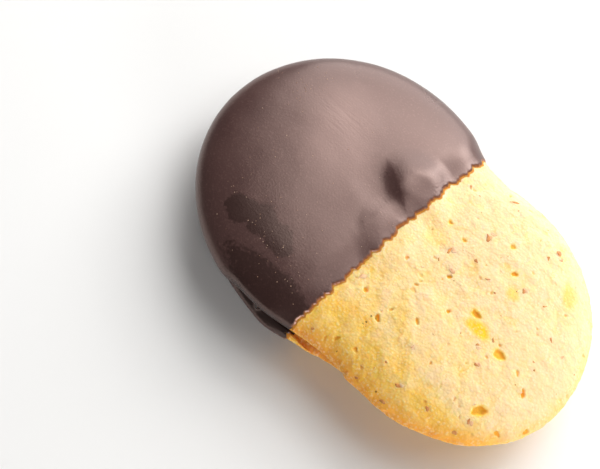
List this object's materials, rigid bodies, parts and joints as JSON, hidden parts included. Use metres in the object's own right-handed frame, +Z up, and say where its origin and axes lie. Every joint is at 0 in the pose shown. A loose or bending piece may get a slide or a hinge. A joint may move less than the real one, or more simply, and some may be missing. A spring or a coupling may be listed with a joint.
{
  "type": "cat tongue cookie",
  "caption": "Sandwich biscuit of two domed, waisted nut biscuits on a chocolate filling, with one end dipped in dark chocolate.",
  "frame": {"origin": "middle of the cookie's bounding box in plan, on the surface that it lies on", "axes": "+X along the cookie towards its bare end, +Z up through the two biscuits"},
  "size_m": [0.0677, 0.0458, 0.0144],
  "materials": {
    "biscuit": "pale golden baked nut biscuit, fine dry crumb with small pores, browned at the rim",
    "filling": "set chocolate cream, smooth and dull",
    "chocolate": "set dark chocolate couverture, satin, with a faint grey bloom"
  },
  "bodies": {
    "root": {"top_biscuit": "biscuit", "bottom_biscuit": "biscuit", "filling": "filling", "chocolate_coat": "chocolate"}
  },
  "joints": []
}
